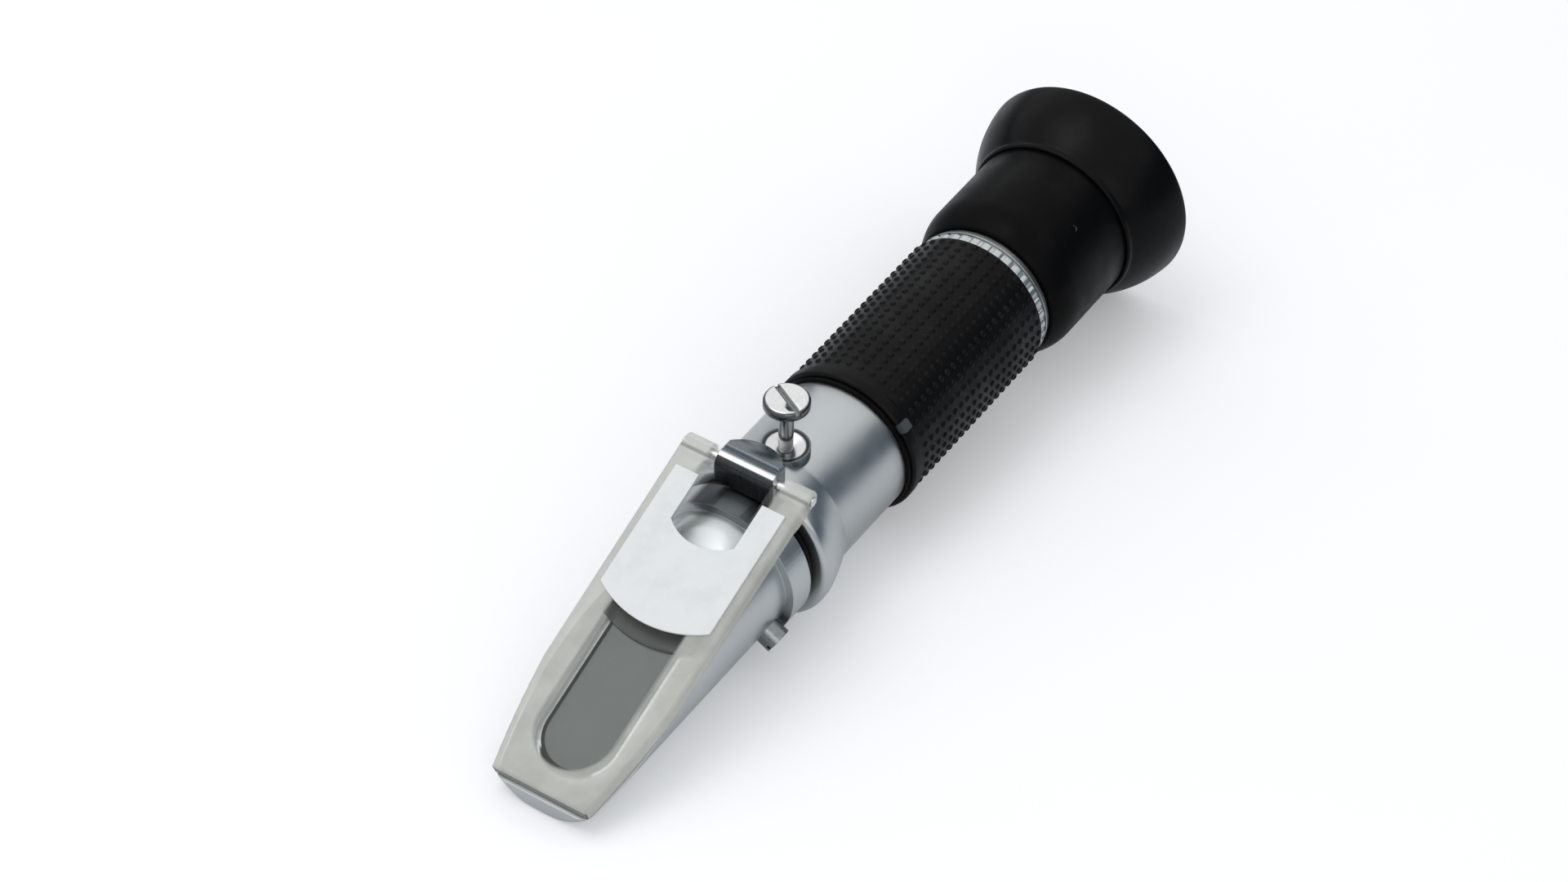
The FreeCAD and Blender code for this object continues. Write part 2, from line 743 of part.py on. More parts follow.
def eyepiece_barrel():
    nose = eyepiece_front + eyepiece_nose_reach
    web_end = eyepiece_web_start + eyepiece_web_length
    rear = eyepiece_rear + eyepiece_spigot_length
    body = turned((eyepiece_front, eyepiece_bore_radius), (eyepiece_front, eyepiece_nose_radius),
                  (eyepiece_front + eyepiece_nose_mid_reach, eyepiece_nose_mid_radius, nose, eyepiece_radius),
                  (eyepiece_rear, eyepiece_radius), (eyepiece_rear, eyepiece_spigot_radius),
                  (rear, eyepiece_spigot_radius), (rear, cup_throat_radius), (web_end, cup_throat_radius),
                  (web_end, lens_tube_neck_radius + running_gap),
                  (eyepiece_web_start, lens_tube_neck_radius + running_gap),
                  (eyepiece_web_start, eyepiece_bore_radius))
    for station, angle in set_screws:
        hole = Part.makeCylinder(set_screw_radius, set_screw_depth + overrun,
                                 Vector(station, 0, eyepiece_radius - set_screw_depth), UP)
        body = body.cut(around(hole, 90 - angle))
    return body


def set_screws_in_eyepiece():
    screws = []
    for station, angle in set_screws:
        foot = eyepiece_radius - set_screw_depth
        screw = Part.makeCylinder(set_screw_radius, set_screw_depth - set_screw_sink, Vector(station, 0, foot), UP)
        screws.append(around(screw, 90 - angle))
    return Part.makeCompound(screws)


def eyecup():
    lip_end = cup_lip_start + cup_lip_length
    rim_end = cup_rim_station + cup_rim_round
    rim_side = cup_rim_round * math.sqrt(1 / 2)
    spigot_end = eyepiece_rear + eyepiece_spigot_length
    floor = spigot_end + cup_floor_thickness
    return turned((cup_lip_start, eyepiece_radius), (cup_lip_start, cup_lip_radius), (lip_end, cup_lip_radius),
                  (cup_mid_station, cup_mid_radius, cup_rim_station, cup_rim_radius),
                  (cup_rim_station + rim_side, cup_rim_arm + rim_side, rim_end, cup_rim_arm),
                  (rim_end, cup_mouth_radius),
                  (cup_inner_mid_station, cup_inner_mid_radius, floor, cup_floor_radius),
                  (floor, cup_throat_radius), (spigot_end, cup_throat_radius),
                  (spigot_end, eyepiece_spigot_radius),
                  (eyepiece_rear, eyepiece_spigot_radius), (eyepiece_rear, eyepiece_radius))


def laid_down(shape):
    """Lay the instrument on its eyecup and its foot, with the foot's middle at the origin."""
    place = FreeCAD.Placement(ORIGIN, FreeCAD.Rotation(ACROSS, -math.degrees(rest_angle)))
    place = place.multiply(FreeCAD.Placement(Vector(-foot_station, 0, foot_depth), FreeCAD.Rotation()))
    return shape.transformed(place.toMatrix(), True)


PIECES = {
    "prism_box": prism_box,
    "measuring_prism": measuring_prism,
    "prism_gasket": prism_gasket,
    "baffle_tube": baffle_tube,
    "box_screws": box_screws,
    "seal_ring": seal_ring,
    "barrel": barrel,
    "hinge_block": hinge_block,
    "hinge_pin": hinge_pin,
    "hinge_block_stud": hinge_block_stud,
    "daylight_plate": daylight_plate,
    "name_plate": name_plate,
    "light_mask": light_mask,
    "calibration_bush": calibration_bush,
    "stem_seal": stem_seal,
    "calibration_screw": calibration_screw,
    "objective_cell": objective_cell,
    "cell_pivots": cell_pivots,
    "objective_lens": objective_lens,
    "objective_lock_ring": objective_ring,
    "aperture_stop": aperture_stop,
    "scale_disc": scale_disc,
    "scale_disc_ring": scale_disc_ring,
    "grip_ring": grip_ring,
    "grip_key": grip_key,
    "grip_sleeve": grip_sleeve,
    "stop_ring": stop_ring,
    "lens_tube": lens_tube,
    "guide_pin": guide_pin,
    "field_lens": field_lens,
    "lens_spacer": lens_spacer,
    "eye_lens": eye_lens,
    "lens_lock_ring": lens_ring,
    "eyepiece_barrel": eyepiece_barrel,
    "eyepiece_set_screws": set_screws_in_eyepiece,
    "eyecup": eyecup,
}

os.makedirs("parts", exist_ok=True)
for name, make in PIECES.items():
    laid_down(make()).exportStep("parts/" + name + ".step")
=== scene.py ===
"""Looks for the hand-held refractometer.

New pieces are drawn about the tube's own axis in millimetres, X from the tip of the prism end and Z up
through the plate. They are then laid down into the model's frame, where the tube rises towards the eyecup.
"""
import json
import math

import bmesh
import bpy
from mathutils import Matrix, Vector

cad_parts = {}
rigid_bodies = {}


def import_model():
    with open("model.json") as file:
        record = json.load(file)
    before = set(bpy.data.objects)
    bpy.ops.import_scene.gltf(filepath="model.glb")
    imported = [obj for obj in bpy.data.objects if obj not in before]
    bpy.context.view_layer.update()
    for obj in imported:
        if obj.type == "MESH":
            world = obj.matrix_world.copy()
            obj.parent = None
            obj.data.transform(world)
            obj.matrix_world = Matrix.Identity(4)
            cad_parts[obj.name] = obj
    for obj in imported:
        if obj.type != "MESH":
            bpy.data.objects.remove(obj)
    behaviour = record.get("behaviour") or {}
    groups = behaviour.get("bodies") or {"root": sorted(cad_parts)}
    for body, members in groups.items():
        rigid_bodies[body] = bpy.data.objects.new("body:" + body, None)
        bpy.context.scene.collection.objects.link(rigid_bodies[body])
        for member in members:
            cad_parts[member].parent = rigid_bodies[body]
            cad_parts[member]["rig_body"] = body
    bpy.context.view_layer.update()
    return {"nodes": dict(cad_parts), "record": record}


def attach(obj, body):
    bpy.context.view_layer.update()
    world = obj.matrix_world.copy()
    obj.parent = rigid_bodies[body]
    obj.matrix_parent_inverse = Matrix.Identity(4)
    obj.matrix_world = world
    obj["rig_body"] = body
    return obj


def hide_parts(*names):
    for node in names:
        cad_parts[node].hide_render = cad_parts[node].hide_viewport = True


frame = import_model()
nodes = frame["nodes"]

# How the tube lies
MM = 0.001
REST_ANGLE = math.radians(3.29199)
FOOT = Vector((61.5, 0, -14.1))
PLATE_ANGLE = math.radians(21.9)
PLATE_TIP = Vector((0, 0, -4.84))
TURN_DOWN = Matrix.Rotation(-REST_ANGLE, 4, "Y")
LAY = TURN_DOWN @ Matrix.Scale(MM, 4) @ Matrix.Translation(-FOOT)

# Stations along the tube and radii from its axis, in millimetres
FLANGE_FACE = 59.0
FLANGE_RADIUS = 14.85
BARREL_RADIUS = 12.6
BARREL_REAR = 146.0
BARREL_BORE = 9.6
BOX_SEAT_RADIUS = 11.6
BOX_SEAT_END = 62.55
SLEEVE_SEAT_RADIUS = 11.8
GRIP_RING_FRONT = 86.2
GRIP_RING_RADIUS = 13.15
GRIP_FRONT = 87.0
GRIP_REAR = 127.6
GRIP_RADIUS = 13.5
GRIP_BEAD_RADIUS = 13.85
EYEPIECE_FRONT = 131.2
EYEPIECE_RADIUS = 15.08
EYEPIECE_BORE = 12.15
EYEPIECE_BORE_END = 149.6
EYEPIECE_SHOULDER = 153.4
EYEPIECE_REAR = 157.4
SPIGOT_RADIUS = 13.4
THROAT_RADIUS = 10.4
CUP_FRONT = 152.4
CUP_RIM_RADIUS = 20.0
SEAL_FRONT = 56.95
SEAL_REAR = 58.95
SEAL_BORE = 11.62
SEAL_EDGE_RADIUS = 12.2
SCREW_STATION = 69.1

# The pips of the grip and the heads of the set screws, in millimetres
PIP_ROWS = 20
PIPS_AROUND = 38
FIRST_PIP = 91.3
PIP_PITCH = 1.85
PIP_HALF_SIZES = (0.58, 0.62, 0.33)
PIP_SINK = 0.04
PIP_CUT_DEPTH = 0.1
SET_SCREWS = ((142.3, 15.14, 48.3), (135.9, 14.92, 19.3))
SET_SCREW_RADIUS = 0.55
SET_SCREW_DEPTH = 1.2
SOCKET_WALL = 0.22
SOCKET_DEPTH = 0.25

# Where painted areas begin and end, in the tube's or the plate's millimetres; most of them are painted shade
# and highlights
# The pocket in front of the hinge block is painted shade
POCKET_FRONT = (51.7, 52.0)
POCKET_REAR = (57.5, 57.9)
POCKET_HEIGHT = (10.4, 11.6)
# The hinge block's front is painted shade and its front edge a painted highlight
BLOCK_FRONT = (57.2, 57.5)
BLOCK_HIGHLIGHT_REAR = (58.0, 58.4)
SCREW_SHADE_BELOW = (23.55, 23.85)
HEAD_RIM_REFLECTION = (3.3, 3.6)
# The bush's bright centre, dark ring and blue-grey wall are painted light and shade
BUSH_RING_INSIDE = (3.1, 3.4)
BUSH_RING_OUTSIDE = (3.75, 3.95)
BUSH_SHADED_WALL = (3.6, 3.9)
WINDOW_END_CENTRE = 11.4
WINDOW_EDGE = (6.6, 7.4)
BELOW_PLATE_EDGE = (-0.35, -0.75)
# The plate's tip face and side faces are painted shade
PLATE_SHADED_TIP_FACE = (0.12, 0.4)
PLATE_SHADED_SIDE = (11.7, 12.0)
# A painted highlight along the rounded rear end of the plate's arms, with a painted shade stripe just ahead
# of it
LIP_SHADE_LINE_FRONT = (60.5, 60.8)
LIP_SHADE_LINE_REAR = (61.1, 61.4)
LIP_HIGHLIGHT = (61.2, 61.6)

# The camera in the tube's own frame, and the light
CAMERA_PLACE = Vector((-413.978, -307.009, 581.455))
CAMERA_RIGHT = Vector((0.55195, -0.83367, 0.01834))
CAMERA_UP = Vector((0.57954, 0.39933, 0.71040))
SENSOR_WIDTH = 36.0
LENS = 115.19
ROOM_LIGHT = 0.72
FLOOR_LIFT = 0.2

# What stands round the object, in metres
FLOOR_HALF_SIZE = 4.0
SURROUND_RADIUS = 0.9
SURROUND_HEIGHT = 0.16
BOARD_DIRECTION = Vector((0.60, -0.69, 0.0))
BOARD_DISTANCE = 0.5
BOARD_MIDDLE_HEIGHT = 0.15
BOARD_SIZE = (0.9, 0.3)

BODY_OF = {name: node["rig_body"] for name, node in nodes.items()}
SLOT_OF = {part["node"]: part["material_slot"] for part in frame["record"]["subparts"]}


# Materials

class Finish:
    """A node material with short calls for the nodes that the finishes share."""

    def __init__(self, name):
        self.material = bpy.data.materials.new(name)
        self.material.use_nodes = True
        self.tree = self.material.node_tree
        self.shader = self.tree.nodes["Principled BSDF"]

    def node(self, kind, **settings):
        made = self.tree.nodes.new(kind)
        for key, value in settings.items():
            setattr(made, key, value)
        return made

    def link(self, source, target):
        self.tree.links.new(source, target)

    def set(self, **values):
        for key, value in values.items():
            self.shader.inputs[key.replace("_", " ")].default_value = value
        return self

    def feed(self, name, source):
        """Link a node's value to one of the shader's sockets."""
        self.link(source, self.shader.inputs[name])

    def mapped(self, vector, scale=(1, 1, 1), rotation=(0, 0, 0), location=(0, 0, 0)):
        made = self.node("ShaderNodeMapping")
        made.inputs["Scale"].default_value = scale
        made.inputs["Rotation"].default_value = rotation
        made.inputs["Location"].default_value = location
        self.link(vector, made.inputs["Vector"])
        return made.outputs["Vector"]

    def tube_space(self):
        """The place on the piece in the tube's own millimetres."""
        place = self.node("ShaderNodeTexCoord").outputs["Object"]
        return self.mapped(place, (1 / MM, 1 / MM, 1 / MM), (0, REST_ANGLE, 0), FOOT)

    def plate_space(self):
        """The place on the plate: X along its slope from the tip, Z up from its top face."""
        moved = self.node("ShaderNodeVectorMath", operation="SUBTRACT")
        moved.inputs[1].default_value = PLATE_TIP
        self.link(self.tube_space(), moved.inputs[0])
        return self.mapped(moved.outputs["Vector"], rotation=(0, PLATE_ANGLE, 0))

    def axes(self, vector):
        """The X, Y and Z of a place."""
        parts = self.node("ShaderNodeSeparateXYZ")
        self.link(vector, parts.inputs["Vector"])
        return parts.outputs

    def noise(self, vector, scale, detail=3.0, roughness=0.5):
        made = self.node("ShaderNodeTexNoise")
        made.inputs["Scale"].default_value = scale
        made.inputs["Detail"].default_value = detail
        made.inputs["Roughness"].default_value = roughness
        self.link(vector, made.inputs["Vector"])
        return made.outputs["Fac"]

    def span(self, value, low, high, to_low, to_high):
        made = self.node("ShaderNodeMapRange", interpolation_type="SMOOTHSTEP")
        made.inputs["From Min"].default_value = low
        made.inputs["From Max"].default_value = high
        made.inputs["To Min"].default_value = to_low
        made.inputs["To Max"].default_value = to_high
        self.link(value, made.inputs["Value"])
        return made.outputs["Result"]

    def colours(self, factor, first, second):
        made = self.node("ShaderNodeMix", data_type="RGBA")
        for place, colour in (("A", first), ("B", second)):
            if isinstance(colour, tuple):
                made.inputs[place].default_value = (*colour, 1)
            else:
                self.link(colour, made.inputs[place])
        self.link(factor, made.inputs["Factor"])
        return made.outputs["Result"]

    def maths(self, operation, first, second=None):
        made = self.node("ShaderNodeMath", operation=operation)
        for index, value in enumerate((first, second)):
            if value is None:
                continue
            if isinstance(value, (int, float)):
                made.inputs[index].default_value = value
            else:
                self.link(value, made.inputs[index])
        return made.outputs["Value"]

    def relief(self, height, distance, soft_edge=0.0):
        """Bump from a height, over edges that are softened by a small radius."""
        bump = self.node("ShaderNodeBump")
        bump.inputs["Strength"].default_value = 1.0
        bump.inputs["Distance"].default_value = distance
        self.link(height, bump.inputs["Height"])
        if soft_edge:
            edge = self.node("ShaderNodeBevel", samples=6)
            edge.inputs["Radius"].default_value = soft_edge
            self.link(edge.outputs["Normal"], bump.inputs["Normal"])
        self.feed("Normal", bump.outputs["Normal"])


def painted_pocket_shade(finish, place):
    """How far the metal lies in the pocket in front of the hinge block, which is painted dark there as
    shade.
    """
    axes = finish.axes(place)
    along = finish.maths("MULTIPLY", finish.span(axes["X"], *POCKET_FRONT, 0, 1),
                         finish.span(axes["X"], *POCKET_REAR, 1, 0))
    return finish.maths("MULTIPLY", along, finish.span(axes["Z"], *POCKET_HEIGHT, 0, 0.9))


def satin_aluminium():
    finish = Finish("satin_aluminium").set(Metallic=1.0)
    place = finish.tube_space()
    rings = finish.noise(finish.mapped(place, (9.0, 0.05, 0.05)), 1.0, 4.0, 0.7)
    clouds = finish.noise(place, 0.09, 3.0, 0.55)
    tint = finish.colours(clouds, (0.46, 0.495, 0.51), (0.58, 0.605, 0.61))
    # Painted shade: the aluminium turns near-black in the pocket in front of the hinge block
    finish.feed("Base Color", finish.colours(painted_pocket_shade(finish, place), tint, (0.035, 0.042, 0.045)))
    ring_rough = finish.span(rings, 0.3, 0.7, 0.0, 0.07)
    cloud_rough = finish.span(clouds, 0.3, 0.75, 0.27, 0.36)
    finish.feed("Roughness", finish.maths("ADD", ring_rough, cloud_rough))
    finish.relief(rings, 0.004 * MM, 0.22 * MM)
    return finish.material


def bright_steel():
    finish = Finish("bright_steel").set(Metallic=1.0)
    place = finish.tube_space()
    scuffs = finish.noise(finish.mapped(place, (1.0, 1.0, 6.0)), 1.6, 4.0, 0.6)
    tint = finish.colours(scuffs, (0.56, 0.57, 0.575), (0.72, 0.725, 0.72))
    finish.feed("Base Color", tint)
    finish.feed("Roughness", finish.span(scuffs, 0.35, 0.7, 0.08, 0.2))
    finish.relief(scuffs, 0.004 * MM, 0.14 * MM)
    return finish.material


def dark_steel():
    finish = Finish("dark_steel").set(Metallic=1.0)
    place = finish.tube_space()
    grain = finish.noise(place, 3.0, 3.0)
    finish.feed("Base Color", finish.colours(grain, (0.05, 0.05, 0.052), (0.11, 0.11, 0.115)))
    finish.feed("Roughness", finish.span(grain, 0.3, 0.7, 0.3, 0.45))
    finish.relief(grain, 0.003 * MM)
    return finish.material


def black_finish(name, dark, light, low_rough, high_rough, grain_scale, depth, gloss, soft_edge=0.2):
    """A black moulded or painted surface with a fine grain and a few paler rubbed patches."""
    finish = Finish(name).set(Specular_IOR_Level=gloss)
    place = finish.tube_space()
    grain = finish.noise(place, grain_scale, 3.0, 0.6)
    rubbed = finish.noise(place, 0.16, 4.0, 0.6)
    finish.feed("Base Color", finish.colours(finish.span(rubbed, 0.45, 0.75, 0, 1), dark, light))
    rough = finish.span(rubbed, 0.35, 0.7, high_rough, low_rough)
    finish.feed("Roughness", rough)
    finish.relief(grain, depth * MM, soft_edge * MM)
    return finish.material


def hinge_block_metal():
    """Grey metal with a blue-grey top, painted shade on its front and a painted highlight along the edge
    over the front.
    """
    finish = Finish("hinge_block_metal").set(Metallic=1.0)
    place = finish.tube_space()
    axes = finish.axes(place)
    grain = finish.noise(finish.mapped(place, (0.4, 3.0, 0.4)), 1.0, 4.0, 0.6)
    top = finish.colours(grain, (0.13, 0.155, 0.17), (0.22, 0.25, 0.265))
    # The front is painted shade: the same metal, much darker
    front = finish.colours(grain, (0.03, 0.034, 0.036), (0.07, 0.075, 0.078))
    behind = finish.span(axes["X"], *BLOCK_FRONT, 0, 1)
    # A painted highlight along the block's front edge
    edge = finish.maths("MULTIPLY", behind, finish.span(axes["X"], *BLOCK_HIGHLIGHT_REAR, 1, 0))
    tint = finish.colours(edge, finish.colours(behind, front, top), (0.6, 0.62, 0.62))
    finish.feed("Base Color", tint)
    finish.feed("Roughness", finish.span(grain, 0.3, 0.7, 0.26, 0.38))
    finish.relief(grain, 0.004 * MM, 0.2 * MM)
    return finish.material


def from_screw_axis(finish, place):
    """The distance from the zero-set screw's axis."""
    shifted = finish.node("ShaderNodeVectorMath", operation="MULTIPLY_ADD")
    shifted.inputs[1].default_value = (1, 1, 0)
    shifted.inputs[2].default_value = (-SCREW_STATION, 0, 0)
    finish.link(place, shifted.inputs[0])
    length = finish.node("ShaderNodeVectorMath", operation="LENGTH")
    finish.link(shifted.outputs["Vector"], length.inputs[0])
    return length.outputs["Value"]


def zero_screw_steel():
    """Polished steel, with a painted dark reflection round its rim and painted shade in its slot and up its
    stem.
    """
    finish = Finish("zero_screw_steel").set(Metallic=1.0)
    place = finish.tube_space()
    reach = from_screw_axis(finish, place)
    axes = finish.axes(place)
    scuffs = finish.noise(finish.mapped(place, (1.0, 1.0, 6.0)), 1.6, 4.0, 0.6)
    bright = finish.colours(scuffs, (0.66, 0.67, 0.675), (0.84, 0.845, 0.84))
    # Painted shade in the slot and down the stem
    low = finish.span(axes["Z"], *SCREW_SHADE_BELOW, 1, 0)
    # A painted dark reflection round the rim of the head
    rim = finish.span(reach, *HEAD_RIM_REFLECTION, 0, 1)
    dark = finish.maths("MAXIMUM", finish.maths("MULTIPLY", low, 0.75), rim)
    finish.feed("Base Color", finish.colours(dark, bright, (0.1, 0.107, 0.11)))
    finish.feed("Roughness", finish.span(scuffs, 0.35, 0.7, 0.1, 0.2))
    finish.relief(scuffs, 0.004 * MM, 0.14 * MM)
    return finish.material


def box_screw_steel():
    finish = Finish("box_screw_steel").set(Metallic=1.0)
    place = finish.tube_space()
    scuffs = finish.noise(place, 1.4, 4.0, 0.6)
    finish.feed("Base Color", finish.colours(scuffs, (0.14, 0.16, 0.165), (0.34, 0.36, 0.365)))
    finish.feed("Roughness", finish.span(scuffs, 0.3, 0.7, 0.2, 0.34))
    finish.relief(scuffs, 0.004 * MM, 0.14 * MM)
    return finish.material


def bush_metal():
    """One metal painted lit and shaded: a bright lit centre inside a ring of painted shade, over a blue-grey
    wall in painted shade.
    """
    finish = Finish("bush_metal").set(Metallic=1.0)
    place = finish.tube_space()
    reach = from_screw_axis(finish, place)
    grain = finish.noise(finish.mapped(place, (0.6, 0.6, 5.0)), 1.2, 3.0, 0.6)
    dish = finish.colours(grain, (0.62, 0.64, 0.64), (0.78, 0.79, 0.79))
    wall = finish.colours(grain, (0.12, 0.145, 0.16), (0.22, 0.25, 0.265))
    # The dark ring is painted shade
    ring = finish.maths("MULTIPLY", finish.span(reach, *BUSH_RING_INSIDE, 0, 1),
                        finish.span(reach, *BUSH_RING_OUTSIDE, 1, 0))
    tint = finish.colours(finish.span(reach, *BUSH_SHADED_WALL, 0, 1), dish, wall)
    finish.feed("Base Color", finish.colours(ring, tint, (0.045, 0.05, 0.052)))
    finish.feed("Roughness", finish.span(grain, 0.3, 0.7, 0.2, 0.34))
    finish.relief(grain, 0.003 * MM, 0.15 * MM)
    return finish.material


def frosted_plastic():
    """Clear plastic, milky where it is frosted and almost clear over the prism's window; its side and tip
    faces carry painted shade, and its rounded rear end a painted highlight with a dark stripe of painted
    shade ahead of it.
    """
    finish = Finish("frosted_plastic").set(IOR=1.49, Specular_IOR_Level=0.25)
    place = finish.plate_space()
    axes = finish.axes(place)
    across = finish.maths("ABSOLUTE", axes["Y"])
    ahead = finish.maths("MAXIMUM", finish.maths("SUBTRACT", WINDOW_END_CENTRE, axes["X"]), 0.0)
    squares = [finish.maths("MULTIPLY", part, part) for part in (across, ahead)]
    reach = finish.maths("SQRT", finish.maths("ADD", *squares))
    window = finish.span(reach, *WINDOW_EDGE, 0.0, 1.0)
    haze = finish.noise(place, 0.16, 3.0, 0.5)
    specks = finish.noise(place, 2.2, 2.0, 0.5)
    tint = finish.colours(haze, (0.56, 0.565, 0.51), (0.66, 0.66, 0.605))
    # Painted shade on the plate's side faces, and a near-black opaque tip face
    deep = finish.span(axes["Z"], *BELOW_PLATE_EDGE, 0, 1)
    tip = finish.maths("MULTIPLY", finish.span(axes["X"], *PLATE_SHADED_TIP_FACE, 1, 0), deep)
    side = finish.span(across, *PLATE_SHADED_SIDE, 0.0, 0.35)
    tint = finish.colours(finish.maths("MULTIPLY", side, deep), tint, (0.30, 0.305, 0.26))
    tint = finish.colours(tip, tint, (0.10, 0.108, 0.092))
    # Painted shade stripe ahead of the rear end, then a painted highlight on the rounded end itself
    painted_shade_line = finish.maths("MULTIPLY", finish.span(axes["X"], *LIP_SHADE_LINE_FRONT, 0, 1),
                        finish.span(axes["X"], *LIP_SHADE_LINE_REAR, 1, 0))
    tint = finish.colours(finish.span(axes["X"], *LIP_HIGHLIGHT, 0, 1), tint, (0.74, 0.74, 0.70))
    tint = finish.colours(painted_shade_line, tint, (0.36, 0.365, 0.33))
    finish.feed("Base Color", tint)
    milky = finish.maths("MULTIPLY", window, finish.span(haze, 0.3, 0.7, 0.52, 0.62))
    solid = finish.maths("MAXIMUM", finish.maths("ADD", milky, 0.05), tip)
    finish.feed("Alpha", solid)
    finish.feed("Roughness", finish.span(specks, 0.3, 0.7, 0.14, 0.26))
    finish.relief(specks, 0.003 * MM, 0.3 * MM)
    return finish.material


def label_film():
    finish = Finish("label_film").set(Specular_IOR_Level=0.3)
    place = finish.plate_space()
    brushed = finish.noise(finish.mapped(place, (0.25, 9.0, 1.0)), 1.0, 3.0, 0.6)
    soil = finish.noise(place, 0.22, 4.0, 0.6)
    tint = finish.colours(finish.span(soil, 0.4, 0.8, 0, 1), (0.80, 0.81, 0.80), (0.73, 0.74, 0.73))
    finish.feed("Base Color", tint)
    finish.feed("Roughness", finish.span(brushed, 0.3, 0.7, 0.34, 0.46))
    finish.relief(brushed, 0.002 * MM, 0.1 * MM)
    return finish.material


# Black film for the light mask: a dark sheet under the label's arc, put where the label's shadow falls, so
# it is painted shade
def mask_film():
    finish = Finish("mask_film")
    place = finish.plate_space()
    grain = finish.noise(place, 1.5, 3.0)
    finish.feed("Base Color", finish.colours(grain, (0.025, 0.03, 0.03), (0.05, 0.055, 0.055)))
    finish.feed("Roughness", finish.span(grain, 0.3, 0.7, 0.4, 0.55))
    finish.relief(grain, 0.003 * MM)
    return finish.material


def prism_glass():
    """The prism from above: dark grey glass, polished, over blackened sides."""
    finish = Finish("prism_glass").set(IOR=1.62, Specular_IOR_Level=0.3)
    place = finish.plate_space()
    depth = finish.noise(place, 0.12, 2.0, 0.4)
    finish.feed("Base Color", finish.colours(depth, (0.055, 0.075, 0.073), (0.085, 0.105, 0.102)))
    finish.feed("Roughness", finish.span(depth, 0.3, 0.7, 0.06, 0.12))
    finish.relief(depth, 0.002 * MM)
    return finish.material


def lens_glass():
    """Coated lens glass with a faint tint of its coating."""
    finish = Finish("lens_glass").set(IOR=1.52, Transmission_Weight=0.85)
    place = finish.tube_space()
    coat = finish.noise(place, 0.2, 2.0, 0.4)
    finish.feed("Base Color", finish.colours(coat, (0.62, 0.66, 0.78), (0.72, 0.70, 0.80)))
    finish.feed("Roughness", finish.span(coat, 0.3, 0.7, 0.02, 0.05))
    return finish.material


FINISHES = {
    "satin_aluminium": satin_aluminium(),
    "bright_steel": bright_steel(),
    "dark_steel": dark_steel(),
    "black_metal": black_finish("black_metal", (0.008, 0.008, 0.009), (0.014, 0.014, 0.015),
                                low_rough=0.35, high_rough=0.5, grain_scale=2.0, depth=0.006,
                                gloss=0.15),
    "black_plastic": black_finish("black_plastic", (0.0022, 0.0022, 0.0025), (0.004, 0.004, 0.0045),
                                  low_rough=0.3, high_rough=0.42, grain_scale=2.6, depth=0.004,
                                  gloss=0.05, soft_edge=0.3),
    "black_rubber": black_finish("black_rubber", (0.0022, 0.0022, 0.0025), (0.004, 0.004, 0.0045),
                                 low_rough=0.24, high_rough=0.36, grain_scale=1.8, depth=0.004,
                                 gloss=0.09, soft_edge=0.3),
    "grip_rubber": black_finish("grip_rubber", (0.0025, 0.0025, 0.0028), (0.006, 0.006, 0.0065),
                                low_rough=0.3, high_rough=0.45, grain_scale=2.4, depth=0.008,
                                gloss=0.1, soft_edge=0.1),
    "frosted_plastic": frosted_plastic(),
    "label_film": label_film(),
    "mask_film": mask_film(),
    "optical_glass": lens_glass(),
}
OWN_FINISHES = {
    "measuring_prism": prism_glass(),
    "hinge_block": hinge_block_metal(),
    "calibration_bush": bush_metal(),
    "calibration_screw": zero_screw_steel(),
    "box_screws": box_screw_steel(),
    "grip_key": black_finish("key_grey", (0.05, 0.06, 0.06), (0.08, 0.095, 0.095),
                             low_rough=0.35, high_rough=0.5, grain_scale=2.0, depth=0.006,
                             gloss=0.3),
}


def finish_for(node):
    return OWN_FINISHES.get(node, FINISHES[SLOT_OF[node]])


# Shapes

def arc_points(start, middle, end, count):
    """Points along the circle through three points of an outline, without its start."""
    (ax, ay), (bx, by), (cx, cy) = start, middle, end
    a, b, c = ax * ax + ay * ay, bx * bx + by * by, cx * cx + cy * cy
    scale = 2 * (ax * (by - cy) + bx * (cy - ay) + cx * (ay - by))
    ux = (a * (by - cy) + b * (cy - ay) + c * (ay - by)) / scale
    uy = (a * (cx - bx) + b * (ax - cx) + c * (bx - ax)) / scale
    radius = math.hypot(ax - ux, ay - uy)
    first = math.atan2(ay - uy, ax - ux)
    last = math.atan2(cy - uy, cx - ux)
    turn = (last - first + math.pi) % (2 * math.pi) - math.pi
    angles = [first + turn * step / count for step in range(1, count + 1)]
    return [(ux + radius * math.cos(angle), uy + radius * math.sin(angle)) for angle in angles]


def lathe(outline, steps=144):
    """Spin a closed outline of stations and radii round the tube's axis."""
    shape = bmesh.new()
    points = [shape.verts.new((x, 0, r)) for x, r in outline]
    edges = [shape.edges.new((points[index - 1], points[index])) for index in range(len(points))]
    bmesh.ops.spin(shape, geom=points + edges, cent=(0, 0, 0), axis=(1, 0, 0), angle=2 * math.pi,
                   steps=steps, use_merge=True, use_duplicate=False)
    bmesh.ops.remove_doubles(shape, verts=shape.verts, dist=1e-5)
    bmesh.ops.recalc_face_normals(shape, faces=shape.faces)
    return shape


def soften_rings(shape, width, least_angle=25):
    """Round the sharp rings of a turned shape."""
    sharp = [edge for edge in shape.edges
             if len(edge.link_faces) == 2 and edge.calc_face_angle(0) > math.radians(least_angle)]
    bmesh.ops.bevel(shape, geom=sharp, offset=width, segments=3, profile=0.5, affect="EDGES",
                    material=-1, clamp_overlap=True)


